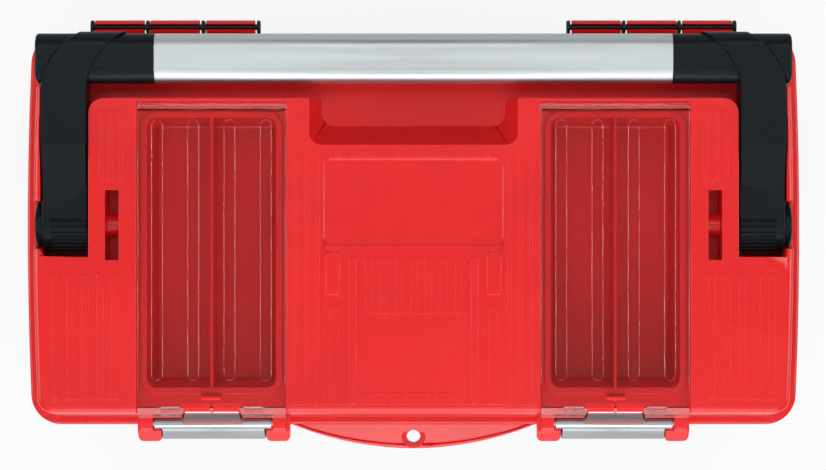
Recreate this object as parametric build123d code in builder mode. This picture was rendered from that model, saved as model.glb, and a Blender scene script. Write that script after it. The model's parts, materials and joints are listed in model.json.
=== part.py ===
"""Tool box: black tub, red lid with two clear organizer covers, folding handle and metal latches.

Millimetres. X runs along the box, Y from its front to its hinges and Z up. The origin is on the
floor, under the middle of the whole box. Left and right are those of someone facing its front.
"""

import math
import os

from build123d import *

os.makedirs("parts", exist_ok=True)

# Whole box
overall_length = 458.4
overall_depth = 255.4
wall = 2.5
lid_gap = 1.2
side_bow = 2.9
corner_radius = 18.0
least_corner = 4.0
running_gap = 0.06
seat_gap = 0.3

# Lid levels and draft
skirt_bottom = 150.0
skirt_height = 18.0
skirt_step = 5.0
upper_height = 54.0
draft = 5.5
top_round = 3.5
skirt_round = 2.0
channel_depth = 35.5

# Hinges at the rear
hinge_radius = 4.1
hinge_reach = 4.6
hinge_rise = 3.0
hinge_centre = 141.9
hinge_length = 100.8
hinge_lug = 1.8
hinge_bays = 3
hinge_end_gap = 1.0
rod_overrun = 1.0
rod_radius = 1.75
clip_mouth = 3.2

# Front tongue and its padlock hole
tongue_reach = 15.4
tongue_width = 150.0
tongue_slope = 11.0
tongue_rim = 1.8
tongue_rim_rise = 1.3
padlock_radius = 4.1
padlock_inset = 7.7
padlock_collar = 2.6
padlock_collar_drop = 5.5

# Handle
grip_setback = 17.5
handle_axis_below_top = 19.0
grip_distance = 96.0
grip_width = 28.7
grip_height = 24.0
grip_corner = 8.5
grip_wall = 1.8
grip_length = 298.2
grip_proud = 1.5
sleeve_length = 68.4
spigot_length = 40.0
arm_width = 25.8
arm_gap_inner = 1.2
arm_gap_outer = 0.7
side_wall = 3.7
hub_radius = 15.3
hub_gap = 3.0
hub_groove = 0.9
band_proud = 1.0
band_sweep = 22.1
band_start_y = 86.0
hub_groove_count = 8
hub_groove_step = 12.0
hub_groove_length = 21.0
sleeve_gap = 0.15
sleeve_round = 2.0
groove_first_angle = 80.0
arm_rise_start = 23.0
arm_top_start = 46.0
arm_low_run = 38.0
pivot_radius = 5.0
pivot_depth = 22.0
cap_radius = 12.9
cap_thickness = 4.6
cap_round = 2.0
boss_radius = 6.6
screw_radius = 1.6
screw_head_radius = 3.2
screw_length = 11.0
screw_inset = 20.0

# Channel, plateau and finger recess
channel_breadth = 40.6
channel_open_breadth = 34.0
plateau_corner = 8.6
finger_width = 120.0
finger_reach = 27.0
finger_slope_y = 12.0
finger_slope_x = 6.5
finger_corner = 7.0
slot_width = 8.0
slot_centre_from_channel = 13.5
slot_length = 40.3
slot_depth = 26.0
finger_overlap = 12.0

# Pattern on top of the lid: soft ribs and a sunk panel for a label
label_half = 51.0
label_setback = 8.6
label_length = 48.8
label_corner = 4.0
label_depth = 1.0
label_slope = 35.0
pattern_rise = 0.5
pad_rise = 1.1
pad_x = 46.3
pad_width = 8.8
pad_setback = 4.1
pad_length = 24.7
long_rib_x = 35.0
long_rib_width = 4.9
long_rib_setback = 6.9
low_rib_x = 45.7
low_rib_width = 5.8
low_rib_setback = 6.2
pattern_setback = 14.7
middle_rib_width = 4.3
middle_rib_pitch = 8.6
middle_rib_count = 7
middle_rib_setback = 7.5
middle_rib_length = 32.2
front_tick_length = 7.1
rear_tick_setback = 3.4
rear_tick_length = 3.4
rear_tick_width = 4.0
rear_tick_count = 11
flute_x = 55.0
flute_width = 2.4
flute_pitch = 6.3
flute_count = 3
flute_setback = 5.4
end_rib_x = 188.4
end_rib_width = 4.3
end_rib_pitch = 8.6
end_rib_count = 5
end_rib_setback = 3.0
end_rib_rear_setback = 9.9
slim_rib_x = 173.6
slim_rib_width = 2.9
slim_rib_pitch = 5.8
slim_rib_count = 3
slim_rib_setback = 5.7
slim_rib_rear_setback = 7.4
pattern_round = 0.35

# Organizers
organizer_x = 116.0
cover_width = 85.2
cover_gap = 0.7
cover_plate = 2.0
cover_lip = 1.2
cover_lip_drop = 1.6
cover_round = 0.4
barrel_setback = 4.8
barrel_radius = 2.2
stub_radius = 1.3
stub_length = 2.6
cover_setback = 12.8
cover_apron = 8.5
cover_apron_slope = 45.0
cover_apron_thickness = 1.8
flap_width = 35.8
flap_length = 14.0
window_reach = 2.7
window_drop = 2.5
window_chamfer = 2.5
flap_slit = 0.9
window_bridge = 1.6
emboss_height = 1.1
emboss_width = 6.6
emboss_round = 0.5
emboss_pitch = 20.8
emboss_front_setback = 15.5
emboss_rear_setback = 7.5
emboss_count = 4
well_width = 74.8
well_front_setback = 11.3
well_rear_setback = 6.1
well_corner = 6.0
well_draft = 5.0
well_depth = 37.0
well_round = 2.5
rim_front_reach = 3.3
rim_corner = 9.5
trough_gap = 0.8
apron_well_depth = 10.0
apron_well_reach = 3.0
divider = 1.5
snap_width = 11.4
snap_thickness = 2.0
snap_slot_gap = 0.5
snap_rise = 1.4
snap_setback = 6.6

# Latches
latch_axis_setback = 3.3
latch_axis_below_top = 15.5
latch_roll_radius = 3.4
latch_pin_radius = 2.0
latch_roll_half = 33.9
latch_plate_half = 29.6
latch_sheet = 1.6
latch_drop = 78.5
latch_neck_reach = 4.4
latch_neck_drop = 2.6
latch_shoulder = 10.0
latch_bulge = 1.2
latch_stand_off = 8.0
latch_lip = 7.4
latch_lip_flare = 5.0
lug_gap = 0.7
lug_width = 13.8
lug_cheek_step = 2.0
lug_cheek_reach = 5.0
lug_cheek_rise = 4.4
lug_foot_reach = 8.2
lug_foot_slope = 9.0
lug_foot_height = 14.0
lug_round = 3.0
latch_pin_end = 6.0
catch_half = 28.0
catch_height = 3.5
catch_reach = 3.1
hook_gap = 0.8
hook_reach = 4.0
hook_thickness = 2.0
latch_bend = 2.0
latch_flat = 22.2

# Tub
tub_wall = 3.0
tub_floor = 3.0
tub_draft = 4.0
floor_round = 3.5
rim_height = 9.5
ledge_height = 8.0
ledge_inset = 0.8
tub_tongue_thickness = 4.5
gusset_drop = 16.0
gusset_width = 3.0
gusset_place = 24.0
foot_height = 3.0
foot_length = 62.0
foot_width = 26.0
foot_corner = 8.7
foot_inset = 12.0
rib_proud = 1.4
rib_width = 7.0
rib_pitch = 14.0
rib_count = 5
rib_low_z = 18.0
rib_high_z = 116.0
corner_rib_x = 182.0
corner_rib_count = 3
pads = ((51.5, 21.0), (-4.5, 26.0), (-54.5, 31.0))
pad_drop = 118.0

# Tray
tray_gap = 1.5
tray_wall = 2.0
tray_depth = 44.0
tray_seat_z = 112.0
tray_corner = 12.0
tray_draft = 2.0
shelf_length = 120.0
shelf_thickness = 5.0
tray_flange = 5.0
tray_flange_thickness = 3.0
tray_handle_top_z = 166.0
tray_handle_half = 58.0
tray_bar_radius = 7.0
tray_web = 3.0
tray_hole_height = 26.0
tray_hole_half = 46.0

# Levels and places that follow from the sizes above
lid_top = skirt_bottom + skirt_height + upper_height
skirt_top = skirt_bottom + skirt_height
half_length = overall_length / 2 - ledge_inset
hinge_y = overall_depth / 2 - hinge_radius
hinge_z = skirt_bottom + hinge_rise
skirt_rear_y = hinge_y - hinge_reach
skirt_front_y = -overall_depth / 2 + tongue_reach
skirt_middle_y = (skirt_rear_y + skirt_front_y) / 2
skirt_depth = skirt_rear_y - skirt_front_y
upper_shrink = upper_height * math.tan(math.radians(draft))
top_half_length = half_length - skirt_step - upper_shrink
channel_z = lid_top - channel_depth
channel_outer_x = top_half_length - side_wall
arm_outer_x = channel_outer_x - arm_gap_outer
arm_inner_x = arm_outer_x - arm_width
plateau_half = arm_inner_x - arm_gap_inner
handle_z = lid_top - handle_axis_below_top
grip_y = skirt_rear_y - grip_setback
handle_axis_y = grip_y - grip_distance
grip_z = lid_top + grip_proud - grip_height / 2
channel_stop_y = handle_axis_y - hub_radius - hub_gap
recess_half = cover_width / 2 + cover_gap
recess_z = lid_top - cover_plate - cover_lip_drop - seat_gap
rim_z = lid_top - cover_plate - seat_gap
barrel_z = lid_top - barrel_radius
latch_z = lid_top - latch_axis_below_top
channel_front_y = skirt_rear_y - channel_breadth
channel_open_y = skirt_rear_y - channel_open_breadth
finger_y = channel_front_y - finger_reach
slot_front_y = handle_axis_y - slot_length / 2
slot_rear_y = handle_axis_y + slot_length / 2
barrel_y = channel_front_y - barrel_setback
cover_front_y = skirt_front_y + cover_setback
window_rear_y = cover_front_y + window_reach
window_front_y = cover_front_y - window_drop
emboss_front_y = cover_front_y + emboss_front_setback
emboss_rear_y = barrel_y - emboss_rear_setback
well_front_y = cover_front_y + well_front_setback
well_rear_y = barrel_y - well_rear_setback
snap_y = cover_front_y + snap_setback
latch_axis_y = skirt_front_y + latch_axis_setback
label_rear_y = finger_y - label_setback
label_front_y = label_rear_y - label_length
pad_rear_y = label_front_y - pad_setback
pad_front_y = pad_rear_y - pad_length
middle_rib_rear_y = label_front_y - middle_rib_setback
pattern_front_y = skirt_front_y + pattern_setback
rear_tick_rear_y = finger_y - rear_tick_setback
lug_inner = latch_plate_half + lug_gap
roll_lug_inner = latch_roll_half + lug_gap
lug_outer = lug_inner + lug_width
tub_rim_z = skirt_bottom + rim_height
tub_inset = wall + lid_gap
padlock_y = -overall_depth / 2 + padlock_inset
recess_rear_y = barrel_y + barrel_radius + trough_gap
trough_front_y = barrel_y - barrel_radius - trough_gap
rim_inset = 2 * cover_gap + cover_lip
tongue_root_y = skirt_front_y + skirt_step + wall / 2
tongue_tip_y = -overall_depth / 2 + ledge_inset
overhead_z = lid_top + 2 * grip_height
sleeve_inner_x = grip_length / 2
grip_front_y = grip_y - grip_width / 2
grip_rear_y = grip_y + grip_width / 2
ledge_z = skirt_bottom - ledge_height
catch_z = ledge_z - catch_height
tub_slope = math.tan(math.radians(tub_draft))
sides = (-1, 1)


def bowed_outline(inset):
    """Draws the lid's plan outline, moved inwards by inset, into the active sketch."""
    end = half_length - side_bow - inset
    middle = half_length - inset
    front = skirt_front_y + inset
    rear = skirt_rear_y - inset
    with BuildLine() as edge:
        Line((-end, front), (end, front))
        ThreePointArc((end, front), (middle, skirt_middle_y), (end, rear))
        Line((end, rear), (-end, rear))
        ThreePointArc((-end, rear), (-middle, skirt_middle_y), (-end, front))
    face = make_face(edge.edges())
    fillet(face.vertices(), max(corner_radius - inset, least_corner))


def leaning_block(high_z, inset, low_z, slope):
    """Adds a solid whose outline leans inwards on its way down to the active part."""
    plans = []
    for z in (low_z, high_z):
        with BuildSketch(Plane.XY.offset(z)) as plan:
            bowed_outline(inset + (high_z - z) * slope)
        plans.append(plan.sketch)
    loft(plans, ruled=True)


def block(low, high, mode=Mode.ADD):
    """A box between two corners, in the active part."""
    centre = [(a + b) / 2 for a, b in zip(low, high)]
    size = [b - a for a, b in zip(low, high)]
    with Locations(tuple(centre)):
        Box(*size, mode=mode)


def rod_along_x(radius, low_x, high_x, y, z, mode=Mode.ADD):
    """A cylinder along X between two X values, in the active part."""
    with Locations(Location(((low_x + high_x) / 2, y, z), (0, 90, 0))):
        Cylinder(radius, abs(high_x - low_x), mode=mode)


def both_sides(part):
    """The same solid on the right of the box and mirrored to its left."""
    return [part, mirror(part, about=Plane.YZ)]


def finish(part, name):
    """Labels a finished piece and writes it."""
    part.label = name
    export_step(part, f"parts/{name}.step")


def channel_plan(grow):
    """The handle channel's plan, grown by the wall for its well, in the active sketch."""
    far_y = overall_depth
    with Locations((0, (channel_stop_y - grow + far_y) / 2)):
        Rectangle(2 * (channel_outer_x + grow), far_y - channel_stop_y + grow)
    with Locations((0, (channel_open_y + far_y) / 2)):
        Rectangle(2 * overall_length, far_y - channel_open_y)
    depth = overall_depth
    with Locations((0, channel_front_y - grow - depth / 2)):
        RectangleRounded(2 * (plateau_half - grow), depth, plateau_corner, mode=Mode.SUBTRACT)


def finger_plans(grow):
    """The finger recess as its two rounded sections, top and floor, for a loft."""
    far_y = channel_front_y + finger_overlap
    plans = []
    sections = (
        (lid_top + seat_gap, finger_width / 2, finger_y, finger_corner),
        (channel_z - grow, finger_width / 2 - finger_slope_x, finger_y + finger_slope_y, finger_corner),
    )
    for z, half, front_y, corner in sections:
        with BuildSketch(Plane.XY.offset(z)) as plan:
            with Locations((0, (front_y - grow + far_y) / 2)):
                RectangleRounded(2 * (half + grow), far_y - front_y + grow, corner)
        plans.append(plan.sketch)
    return plans


def organizer_well(grow):
    """One tapered organizer well on the right side, as a solid."""
    length = well_rear_y - well_front_y
    with BuildPart() as well:
        with BuildSketch(Plane.XY.offset(lid_top)):
            with Locations((organizer_x, (well_rear_y + well_front_y) / 2)):
                RectangleRounded(well_width + 2 * grow, length + 2 * grow, well_corner + grow)
        extrude(amount=rim_z - lid_top - well_depth - grow, taper=well_draft)
        if grow == 0:
            fillet(well.faces().sort_by(Axis.Z)[0].edges(), well_round)
    return well.part


def apron_line(shift):
    """A point and direction of the cover's sloped apron in the YZ plane, moved inwards by shift."""
    angle = math.radians(cover_apron_slope)
    down = (-math.cos(angle), -math.sin(angle))
    inward = (math.sin(angle), -math.cos(angle))
    start = (cover_front_y + inward[0] * shift, lid_top + inward[1] * shift)
    return start, down


def apron_cut(shift, low_x, high_x):
    """Everything outside the apron's sloped plane over a stretch of X, as a solid."""
    (y, z), (dy, dz) = apron_line(shift)
    reach = upper_height
    with BuildPart() as outside:
        with BuildSketch(Plane.YZ.offset(low_x)):
            with BuildLine():
                Polyline(
                    (y - dy * reach, z - dz * reach),
                    (y + dy * reach, z + dz * reach),
                    (y + dy * reach - reach, z + dz * reach),
                    (y + dy * reach - reach, z - dz * reach),
                    close=True,
                )
            make_face()
        extrude(amount=high_x - low_x)
    return outside.part


def apron_sheet(length, half_width):
    """A stretch of the cover's sloped apron on the right side, as a solid."""
    (y, z), (dy, dz) = apron_line(0)
    inner_y, inner_z = apron_line(cover_apron_thickness)[0]
    with BuildPart() as sheet:
        with BuildSketch(Plane.YZ.offset(organizer_x - half_width)):
            with BuildLine():
                Polyline(
                    (y, z),
                    (inner_y, inner_z),
                    (inner_y + dy * length, inner_z + dz * length),
                    (y + dy * length, z + dz * length),
                    close=True,
                )
            make_face()
        extrude(amount=2 * half_width)
    return sheet.part


def tongue_plan(tip_y, trim, mode=Mode.ADD):
    """The tongue's bowed plan, drawn in the active sketch and trimmed at its edge."""
    root_y = skirt_front_y + wall / 2
    with BuildLine() as edge:
        half = tongue_width / 2 - trim
        ThreePointArc((-half, root_y), (0, tip_y + trim), (half, root_y))
        Line((half, root_y), (-half, root_y))
    make_face(edge.edges(), mode=mode)


def tongue_profile(rise):
    """The tongue's side profile, drawn in the active sketch and raised by rise."""
    with BuildLine() as edge:
        Polyline(
            (tongue_root_y, skirt_top + rise),
            (tongue_tip_y - wall, skirt_top - tongue_slope + rise),
            (tongue_tip_y - wall, skirt_bottom + seat_gap),
            (tongue_root_y, skirt_bottom + seat_gap),
            close=True,
        )
    make_face(edge.edges())


def raised_ribs(middle_x, width, front_y, rear_y, pitch=0.0, count=1):
    """A row of round-ended ribs, drawn in the active sketch."""
    with Locations((middle_x, (front_y + rear_y) / 2)):
        with GridLocations(pitch, 1, count, 1):
            RectangleRounded(width, rear_y - front_y, width / 4)


# Lid: walls of the wells that hang inside it
with BuildPart() as lid_wells:
    with BuildSketch(Plane.XY.offset(channel_z - wall)):
        channel_plan(wall)
    extrude(amount=overall_depth)
    loft(finger_plans(wall))
    for side in sides:
        middle = side * organizer_x
        block(
            (middle - recess_half - wall - stub_length, -overall_depth, recess_z - wall),
            (middle + recess_half + wall + stub_length, recess_rear_y + wall, lid_top),
        )
        block(
            (middle - recess_half - wall, -overall_depth, lid_top - apron_well_depth),
            (middle + recess_half + wall, cover_front_y + apron_well_reach, lid_top),
        )
        slot_x = side * (plateau_half - slot_centre_from_channel)
        block(
            (slot_x - slot_width / 2 - wall, slot_front_y - wall, lid_top - slot_depth - wall),
            (slot_x + slot_width / 2 + wall, slot_rear_y + wall, lid_top),
        )
        boss_low = side * (plateau_half - pivot_depth - wall)
        rod_along_x(boss_radius, boss_low, side * plateau_half, handle_axis_y, handle_z)
    for well in both_sides(organizer_well(wall)):
        add(well)

# Lid: the space inside it
with BuildPart() as lid_cavity:
    with BuildSketch(Plane.XY.offset(skirt_bottom)):
        bowed_outline(wall)
    extrude(amount=skirt_height - wall)
    with BuildSketch(Plane.XY.offset(skirt_bottom)):
        bowed_outline(skirt_step + wall)
    extrude(amount=skirt_height)
    with BuildSketch(Plane.XY.offset(skirt_top)):
        bowed_outline(skirt_step + wall)
    extrude(amount=upper_height - wall, taper=draft)
    add(lid_wells.part, mode=Mode.SUBTRACT)

# Lid: padlock tongue, a slab whose top slopes down to the front
with BuildPart() as lid_tongue:
    with BuildSketch(Plane.XY.offset(skirt_bottom)):
        tongue_plan(tongue_tip_y, 0)
    extrude(amount=skirt_height + tongue_rim_rise)
    with BuildSketch(Plane.YZ):
        tongue_profile(0)
    extrude(amount=tongue_width, both=True, mode=Mode.INTERSECT)

# Lid: raised rim along the tongue's edge
with BuildPart() as lid_tongue_rim:
    with BuildSketch(Plane.XY.offset(skirt_bottom)):
        tongue_plan(tongue_tip_y, 0)
        tongue_plan(tongue_tip_y, tongue_rim, Mode.SUBTRACT)
    extrude(amount=skirt_height + tongue_rim_rise)
    with BuildSketch(Plane.XY.offset(skirt_bottom)):
        with Locations((0, skirt_front_y + skirt_depth / 2)):
            Rectangle(2 * tongue_width, skirt_depth)
    extrude(amount=upper_height, mode=Mode.SUBTRACT)
    with BuildSketch(Plane.YZ):
        tongue_profile(tongue_rim_rise)
    extrude(amount=tongue_width, both=True, mode=Mode.INTERSECT)

# Lid: lugs on both sides of the right latch, each a cheek with a sloped foot
with BuildPart() as latch_lugs:
    lug_back_y = latch_axis_y + latch_roll_radius + 2 * wall
    cheek_front_y = latch_axis_y - lug_cheek_reach
    foot_front_y = skirt_front_y - lug_foot_reach
    foot_top_z = latch_z - latch_roll_radius - lug_gap
    foot_low_z = foot_top_z - lug_foot_height
    for side in sides:
        near = organizer_x + side * roll_lug_inner
        far = organizer_x + side * (lug_outer - lug_cheek_step)
        block(
            (min(near, far), cheek_front_y, skirt_top - wall),
            (max(near, far), lug_back_y, latch_z + lug_cheek_rise),
        )
        foot_low_x = organizer_x + min(side * lug_inner, side * lug_outer)
        with BuildSketch(Plane.YZ.offset(foot_low_x)):
            with BuildLine():
                Polyline(
                    (lug_back_y, foot_low_z),
                    (lug_back_y, foot_top_z),
                    (cheek_front_y, foot_top_z),
                    (foot_front_y, foot_top_z - lug_foot_slope),
                    (foot_front_y, foot_low_z),
                    close=True,
                )
            make_face()
        extrude(amount=lug_width)
    fillet(latch_lugs.edges().filter_by(Axis.Z).group_by(Axis.Y)[0], lug_round)
    fillet(latch_lugs.edges().filter_by(Axis.X).group_by(Axis.Z)[-1].group_by(Axis.Y)[0], lug_round)

# Lid: everything that is open to its top, before rims and bosses go back in
with BuildPart() as lid_recesses:
    with BuildSketch(Plane.XY.offset(channel_z)):
        channel_plan(0)
    extrude(amount=overall_depth)
    loft(finger_plans(0))
    for side in sides:
        middle = side * organizer_x
        block(
            (middle - recess_half, -overall_depth, recess_z),
            (middle + recess_half, recess_rear_y, overhead_z),
        )
        block(
            (middle - recess_half, trough_front_y, barrel_z - barrel_radius - trough_gap),
            (middle + recess_half, recess_rear_y, overhead_z),
        )
        slot_x = side * (plateau_half - slot_centre_from_channel)
        block(
            (slot_x - slot_width / 2, slot_front_y, lid_top - slot_depth),
            (slot_x + slot_width / 2, slot_rear_y, overhead_z),
        )
        cap_notch = cap_radius + arm_gap_outer
        low_x, high_x = sorted((side * (channel_outer_x - arm_gap_outer), side * overall_length))
        rod_along_x(cap_notch, low_x, high_x, handle_axis_y, handle_z)
        block(
            (low_x, handle_axis_y - cap_notch, handle_z),
            (high_x, handle_axis_y + cap_notch, overhead_z),
        )
        apron_shift = cover_apron_thickness + seat_gap
        add(apron_cut(apron_shift, middle - recess_half, middle + recess_half))

# Lid: what stands up inside the recesses
with BuildPart() as lid_risers:
    for side in sides:
        middle = side * organizer_x
        with BuildSketch(Plane.XY.offset(recess_z)):
            rim_front = well_front_y - rim_front_reach
            with Locations((middle, (trough_front_y + rim_front) / 2)):
                rim_width = 2 * (recess_half - rim_inset)
                RectangleRounded(rim_width, trough_front_y - rim_front, rim_corner)
        extrude(amount=rim_z - recess_z)
        boss_low = side * (plateau_half - pivot_depth - wall)
        rod_along_x(boss_radius, boss_low, side * plateau_half, handle_axis_y, handle_z)
        bay = (hinge_length - hinge_lug) / hinge_bays
        for count in range(hinge_bays):
            low = side * hinge_centre - hinge_length / 2 + hinge_lug + count * bay + hinge_end_gap
            high = low + bay - hinge_lug - 2 * hinge_end_gap
            rod_along_x(hinge_radius, low, high, hinge_y, hinge_z)
            block((low, skirt_rear_y - wall / 2, skirt_bottom), (high, hinge_y, hinge_z))

# Lid: organizer wells and all the bores
with BuildPart() as lid_bores:
    with Locations((0, padlock_y, skirt_bottom)):
        Cylinder(padlock_radius, 4 * skirt_height)
    for side in sides:
        middle = side * organizer_x
        stub_reach = recess_half + stub_length
        rod_along_x(
            stub_radius + running_gap, middle - stub_reach, middle + stub_reach, barrel_y, barrel_z
        )
        rod_along_x(
            pivot_radius + running_gap,
            side * (plateau_half - pivot_depth),
            side * (plateau_half + wall),
            handle_axis_y,
            handle_z,
        )
        pin_reach = roll_lug_inner + latch_pin_end
        rod_along_x(
            latch_pin_radius + running_gap, middle - pin_reach, middle + pin_reach, latch_axis_y, latch_z
        )
        low = side * hinge_centre - hinge_length / 2
        high = side * hinge_centre + hinge_length / 2
        rod_along_x(rod_radius + running_gap, low, high, hinge_y, hinge_z)
        block(
            (low, hinge_y - clip_mouth / 2, hinge_z),
            (high, hinge_y + clip_mouth / 2, hinge_z + 2 * hinge_radius),
        )
    for well in both_sides(organizer_well(0)):
        add(well)
    with BuildSketch(Plane.XY.offset(lid_top - label_depth)):
        with Locations((0, (label_front_y + label_rear_y) / 2)):
            RectangleRounded(2 * label_half, label_rear_y - label_front_y, label_corner)
    extrude(amount=label_depth, taper=-label_slope)

# Lid: raised pattern of its middle panel and ends, as low and high ribs
with BuildPart() as low_pattern:
    with BuildSketch(Plane.XY.offset(lid_top - label_depth)):
        raised_ribs(
            0,
            middle_rib_width,
            middle_rib_rear_y - middle_rib_length,
            middle_rib_rear_y,
            middle_rib_pitch,
            middle_rib_count,
        )
        raised_ribs(
            0,
            middle_rib_width,
            pattern_front_y,
            pattern_front_y + front_tick_length,
            middle_rib_pitch,
            middle_rib_count,
        )
        raised_ribs(
            0,
            rear_tick_width,
            rear_tick_rear_y - rear_tick_length,
            rear_tick_rear_y,
            middle_rib_pitch,
            rear_tick_count,
        )
        flute_middle = flute_x + flute_pitch * (flute_count - 1) / 2
        for side in sides:
            raised_ribs(
                side * low_rib_x, low_rib_width, pattern_front_y, pad_front_y - low_rib_setback
            )
            raised_ribs(
                side * flute_middle,
                flute_width,
                pattern_front_y,
                finger_y - flute_setback,
                flute_pitch,
                flute_count,
            )
            raised_ribs(
                side * end_rib_x,
                end_rib_width,
                pattern_front_y + end_rib_setback,
                channel_stop_y - end_rib_rear_setback,
                end_rib_pitch,
                end_rib_count,
            )
            raised_ribs(
                side * slim_rib_x,
                slim_rib_width,
                slot_rear_y + slim_rib_setback,
                channel_front_y - slim_rib_rear_setback,
                slim_rib_pitch,
                slim_rib_count,
            )
    extrude(amount=label_depth + pattern_rise)
    fillet(low_pattern.edges().group_by(Axis.Z)[-1], pattern_round)

with BuildPart() as high_pattern:
    with BuildSketch(Plane.XY.offset(lid_top - label_depth)):
        for side in sides:
            raised_ribs(side * pad_x, pad_width, pad_front_y, pad_rear_y)
            raised_ribs(
                side * long_rib_x, long_rib_width, pattern_front_y, label_front_y - long_rib_setback
            )
    extrude(amount=label_depth + pad_rise)
    fillet(high_pattern.edges().group_by(Axis.Z)[-1], 2 * pattern_round)

# Lid: dividers, cover hooks and the pattern
with BuildPart() as lid_details:
    for side in sides:
        middle = side * organizer_x
        block(
            (middle - divider / 2, well_front_y - wall / 2, rim_z - well_depth),
            (middle + divider / 2, well_rear_y + wall / 2, rim_z - seat_gap),
        )
        block(
            (middle - snap_width / 2, snap_y - snap_thickness, recess_z - wall / 2),
            (middle + snap_width / 2, snap_y, lid_top + snap_rise),
        )
    add(low_pattern.part)
    add(high_pattern.part)

with BuildPart() as lid_shell:
    with BuildSketch(Plane.XY.offset(skirt_bottom)):
        bowed_outline(0)
    extrude(amount=skirt_height)
    fillet(lid_shell.faces().sort_by(Axis.Z)[-1].edges(), skirt_round)
    with BuildSketch(Plane.XY.offset(skirt_top)):
        bowed_outline(skirt_step)
    extrude(amount=upper_height, taper=draft)
    fillet(lid_shell.faces().sort_by(Axis.Z)[-1].edges(), top_round)
    add(lid_tongue.part)
    add(lid_tongue_rim.part)
    with BuildSketch(Plane.XY.offset(skirt_bottom + seat_gap)):
        with Locations((0, padlock_y)):
            Circle(padlock_radius + padlock_collar)
    extrude(amount=skirt_height - padlock_collar_drop)
    add(lid_recesses.part, mode=Mode.SUBTRACT)
    add(both_sides(latch_lugs.part))
    add(lid_cavity.part, mode=Mode.SUBTRACT)
    add(lid_risers.part)
    add(lid_bores.part, mode=Mode.SUBTRACT)
    add(lid_details.part)

# Organizer cover, right: plate, side lips, hinge barrel with stubs, apron with its finger flap
with BuildPart() as cover:
    half = cover_width / 2
    block(
        (organizer_x - half, cover_front_y, lid_top - cover_plate),
        (organizer_x + half, barrel_y, lid_top),
    )
    fillet(cover.edges().filter_by(Axis.Y).group_by(Axis.Z)[-1], cover_round)
    rod_along_x(barrel_radius, organizer_x - half, organizer_x + half, barrel_y, barrel_z)
    stub_reach = recess_half + stub_length - seat_gap
    rod_along_x(stub_radius, organizer_x - stub_reach, organizer_x + stub_reach, barrel_y, barrel_z)
    for side in sides:
        low_x, high_x = sorted((organizer_x + side * half, organizer_x + side * (half - cover_lip)))
        block(
            (low_x, cover_front_y + cover_lip, lid_top - cover_plate - cover_lip_drop),
            (high_x, trough_front_y - rim_corner / 2, lid_top - cover_plate),
        )
    add(apron_cut(0, organizer_x - half, organizer_x + half), mode=Mode.SUBTRACT)
    add(apron_sheet(cover_apron, half))
    add(apron_sheet(flap_length, flap_width / 2))
    flap_reach = flap_length * math.cos(math.radians(cover_apron_slope))
    with BuildSketch(Plane.XY.offset(skirt_top)):
        with Locations((organizer_x, 0)):
            with BuildLine():
                Polyline(
                    (organizer_x - flap_width / 2, window_rear_y),
                    (organizer_x - flap_width / 2 + window_chamfer, window_front_y),
                    (organizer_x + flap_width / 2 - window_chamfer, window_front_y),
                    (organizer_x + flap_width / 2, window_rear_y),
                    close=True,
                )
            make_face()
        for side in sides:
            slit_rear_x = organizer_x + side * (flap_width / 2 - window_chamfer)
            slit_front_x = organizer_x + side * flap_width / 2
            slit_start = 2 * flap_slit
            slit_rear_x -= side * slit_start * window_chamfer / flap_reach
            with BuildLine() as slit:
                Polyline(
                    (slit_rear_x, window_front_y + slit_start),
                    (slit_front_x, window_front_y - flap_reach),
                    (slit_front_x + side * flap_slit, window_front_y - flap_reach),
                    (slit_rear_x + side * flap_slit, window_front_y + slit_start),
                    close=True,
                )
            make_face(slit.edges())
        with Locations((organizer_x, snap_y - snap_thickness / 2)):
            slot_grow = 2 * snap_slot_gap
            Rectangle(snap_width + slot_grow, snap_thickness + slot_grow)
        with Locations((organizer_x, (window_rear_y + window_front_y) / 2)):
            Rectangle(window_bridge, window_rear_y - window_front_y + wall, mode=Mode.SUBTRACT)
    extrude(amount=upper_height + wall, mode=Mode.SUBTRACT)
    emboss_middle = (emboss_rear_y + emboss_front_y) / 2
    emboss_length = emboss_rear_y - emboss_front_y
    with BuildSketch(Plane.XY.offset(lid_top)):
        with Locations((organizer_x, emboss_middle)):
            with GridLocations(emboss_pitch, 1, emboss_count, 1):
                SlotOverall(emboss_length, emboss_width, rotation=90)
    extrude(amount=emboss_height)
    fillet(cover.edges().group_by(Axis.Z)[-1], emboss_round)
    with BuildSketch(Plane.XY.offset(lid_top - cover_plate)):
        with Locations((organizer_x, emboss_middle)):
            with GridLocations(emboss_pitch, 1, emboss_count, 1):
                inner = emboss_width - 2 * emboss_height
                SlotOverall(emboss_length - 2 * emboss_height, inner, rotation=90)
    extrude(amount=emboss_height, mode=Mode.SUBTRACT)

# Handle: aluminium grip
with BuildPart() as grip_tube:
    with BuildSketch(Plane.YZ.offset(-grip_length / 2)):
        with Locations((grip_y, grip_z)):
            RectangleRounded(grip_width, grip_height, grip_corner)
            hollow_width = grip_width - 2 * grip_wall
            hollow_height = grip_height - 2 * grip_wall
            RectangleRounded(hollow_width, hollow_height, grip_corner - grip_wall, mode=Mode.SUBTRACT)
    extrude(amount=grip_length)
    for side in sides:
        with Locations((side * (grip_length / 2 - screw_inset), grip_y, grip_z - grip_height / 2)):
            Cylinder(screw_radius + running_gap, 4 * grip_wall, mode=Mode.SUBTRACT)
            cone_height = screw_head_radius - screw_radius
            Cone(
                screw_head_radius + running_gap,
                screw_radius + running_gap,
                cone_height,
                align=(Align.CENTER, Align.CENTER, Align.MIN),
                mode=Mode.SUBTRACT,
            )

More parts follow.
